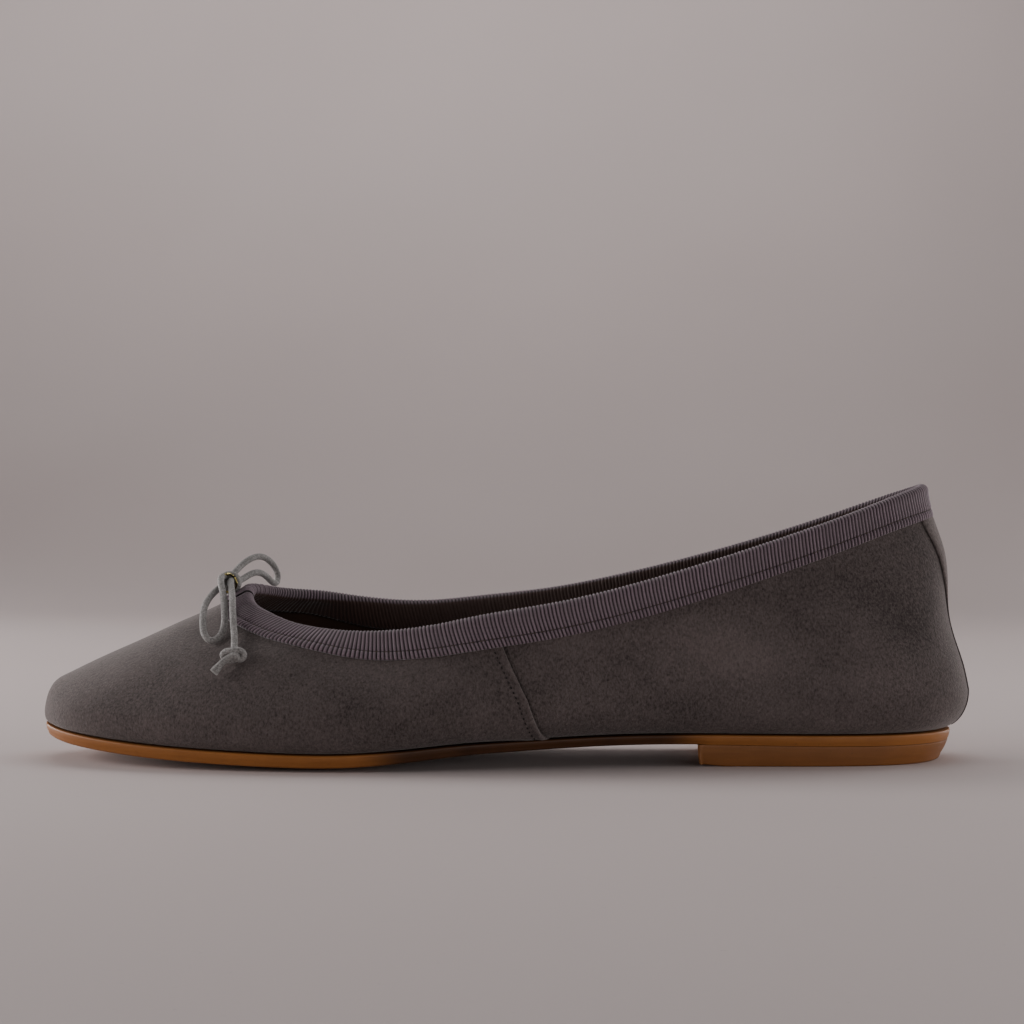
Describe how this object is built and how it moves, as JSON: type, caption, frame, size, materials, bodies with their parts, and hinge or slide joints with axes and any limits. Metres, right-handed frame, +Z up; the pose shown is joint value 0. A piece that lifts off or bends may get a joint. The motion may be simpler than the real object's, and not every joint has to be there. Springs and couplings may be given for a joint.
{
  "type": "ballet flat",
  "caption": "Left ballet flat: a suede shell on a thin sole and low heel, with a ribbon-bound collar and a small cord bow at the throat.",
  "frame": {"origin": "on the floor under the middle of the shoe's box, the bow's cords left out", "axes": "the toe points along -X, the outer side of the foot faces -Y, the inner side faces +Y, +Z is up"},
  "size_m": [0.2506, 0.0812, 0.0734],
  "materials": {
    "sole": "smooth tan leather, lightly waxed edge",
    "heel": "stacked tan leather, lightly waxed",
    "lining": "matte dark brown leather",
    "suede": "napped suede with soft darker patches",
    "grosgrain": "ribbed ribbon with a stitch line",
    "eyelet": "aged brass",
    "cord": "waxed round cord"
  },
  "bodies": {
    "root": {"outsole": "sole", "heel": "heel", "insole": "lining", "upper": "suede", "binding": "grosgrain", "back_strip": "suede", "eyelet": "eyelet", "bow_knot": "cord", "bow_loop_lateral": "cord", "bow_loop_medial": "cord", "bow_tail_lateral": "cord", "bow_tail_medial": "cord", "tail_knot_lateral": "cord", "tail_knot_medial": "cord"}
  },
  "joints": []
}
